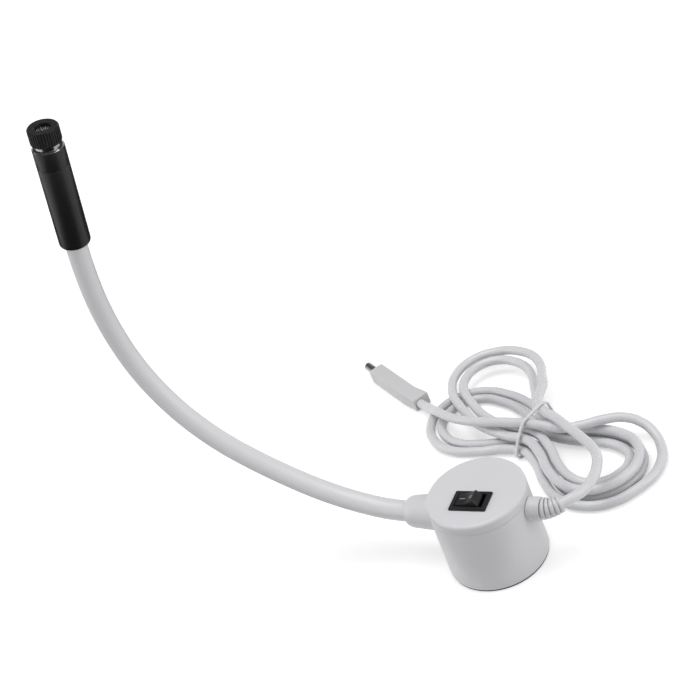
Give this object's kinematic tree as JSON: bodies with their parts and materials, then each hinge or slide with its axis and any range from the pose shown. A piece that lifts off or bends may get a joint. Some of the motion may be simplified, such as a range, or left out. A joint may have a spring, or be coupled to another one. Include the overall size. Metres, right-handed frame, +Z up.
{
  "type": "magnetic gooseneck lamp",
  "caption": "Magnetic gooseneck spot lamp: round switched base, bendable sleeved neck, slim black head with a turning focus cap, tied cord and barrel plug.",
  "frame": {"origin": "middle of the magnet face under the base", "axes": "+Z up out of the base, the neck leaves the base along -X, the cord leaves it along +X"},
  "size_m": [0.2555, 0.1895, 0.2792],
  "materials": {
    "pale_shell": "fine satin",
    "relief_pvc": "satin",
    "dark_plate": "matt",
    "magnet": "sintered",
    "screws": "zinc plated",
    "switch_black": "semi gloss",
    "brass": "plain",
    "bright_metal": "bright",
    "steel": "plain",
    "wire": "plain",
    "sleeve_pvc": "smooth satin",
    "cable_pvc": "plain",
    "wound_steel": "wound wire",
    "head_black": "satin anodised",
    "heatsink": "turned",
    "led_board": "white solder mask",
    "led": "phosphor",
    "circuit": "solder mask",
    "circuit_parts": "plain",
    "lens_glass": "clear",
    "cord_pvc": "satin",
    "tie_white": "plain",
    "plug_pvc": "satin",
    "plug_black": "plain"
  },
  "bodies": {
    "base": {"base_housing": "pale_shell", "top_cover": "pale_shell", "bottom_plate": "dark_plate", "magnet": "magnet", "plate_screws": "screws", "switch_housing": "switch_black", "switch_terminals": "brass", "neck_collar": "pale_shell", "collar_nut": "steel", "strain_relief": "relief_pvc", "wire_supply": "wire", "wire_switched": "wire", "wire_return": "wire", "neck_cable": "cable_pvc", "neck_core_root": "wound_steel", "neck_sleeve_root": "sleeve_pvc", "cord_lead": "cord_pvc", "cord_hank": "cord_pvc", "cord_tail": "cord_pvc", "hank_tie": "tie_white", "plug_moulding": "plug_pvc", "plug_barrel": "bright_metal", "plug_insulator": "plug_black", "plug_contact": "brass"},
    "rocker": {"switch_rocker": "switch_black", "rocker_plunger": "brass"},
    "contact": {"contact_bar": "brass"},
    "neck_1": {"neck_core_1": "wound_steel", "neck_sleeve_1": "sleeve_pvc"},
    "neck_2": {"neck_core_2": "wound_steel", "neck_sleeve_2": "sleeve_pvc"},
    "neck_3": {"neck_core_3": "wound_steel", "neck_sleeve_3": "sleeve_pvc"},
    "neck_4": {"neck_core_4": "wound_steel", "neck_sleeve_4": "sleeve_pvc"},
    "neck_5": {"neck_core_5": "wound_steel", "neck_sleeve_5": "sleeve_pvc"},
    "head": {"neck_core_tip": "wound_steel", "neck_sleeve_tip": "sleeve_pvc", "neck_ferrule": "brass", "head_barrel": "head_black", "front_sleeve": "head_black", "lens_tube": "bright_metal", "led_heatsink": "heatsink", "led_board": "led_board", "led_emitter": "led", "driver_board": "circuit", "driver_parts": "circuit_parts", "head_wires": "wire"},
    "lens_carrier": {"lens_cell": "head_black", "lens": "lens_glass", "lens_retainer": "steel"},
    "cap": {"focus_cap": "head_black"}
  },
  "joints": [
    {"name": "rocker_tilt", "type": "hinge", "parent": "base", "child": "rocker", "pos_m": [0.0003, -0.0078, 0.041], "axis": [0, 1, 0], "range_deg": [0, 32]},
    {"name": "contact_tilt", "type": "hinge", "parent": "base", "child": "contact", "pos_m": [0.0003, -0.0078, 0.0339], "axis": [0, 1, 0], "range_deg": [-14, 0]},
    {"name": "neck_bend_1", "type": "hinge", "parent": "base", "child": "neck_1", "pos_m": [-0.05982, 0, 0.03119], "axis": [0, 1, 0], "range_deg": [-20, 35], "deforming": ["neck_sleeve_root", "neck_sleeve_1", "neck_sleeve_2", "neck_sleeve_3", "neck_sleeve_4", "neck_sleeve_5", "neck_sleeve_tip", "neck_cable"]},
    {"name": "neck_swing_1", "type": "hinge", "parent": "neck_1", "child": "neck_2", "pos_m": [-0.09871, 0, 0.0467], "axis": [0.4924, 0, 0.8704], "range_deg": [-35, 35]},
    {"name": "neck_bend_2", "type": "hinge", "parent": "neck_2", "child": "neck_3", "pos_m": [-0.13339, 0, 0.07032], "axis": [0, 1, 0], "range_deg": [-20, 35]},
    {"name": "neck_swing_2", "type": "hinge", "parent": "neck_3", "child": "neck_4", "pos_m": [-0.16051, 0, 0.10207], "axis": [0.866, 0, 0.5], "range_deg": [-35, 35]},
    {"name": "neck_bend_3", "type": "hinge", "parent": "neck_4", "child": "neck_5", "pos_m": [-0.17428, 0, 0.14149], "axis": [0, 1, 0], "range_deg": [-20, 35]},
    {"name": "neck_swing_3", "type": "hinge", "parent": "neck_5", "child": "head", "pos_m": [-0.17464, 0, 0.18335], "axis": [0.9914, 0, -0.1305], "range_deg": [-35, 35]},
    {"name": "focus_travel", "type": "slide", "parent": "head", "child": "lens_carrier", "axis": [0.2419, 0, 0.9703], "range_m": [-0.002, 0.0015]},
    {"name": "focus_turn", "type": "hinge", "parent": "lens_carrier", "child": "cap", "pos_m": [-0.15366, 0, 0.27421], "axis": [0.2419, 0, 0.9703], "range_deg": [-720, 540]}
  ],
  "couplings": [
    {"joint": "contact_tilt", "follows": "rocker_tilt", "ratio": -0.4375},
    {"joint": "focus_turn", "follows": "focus_travel", "rad_per_m": 6283.2}
  ]
}
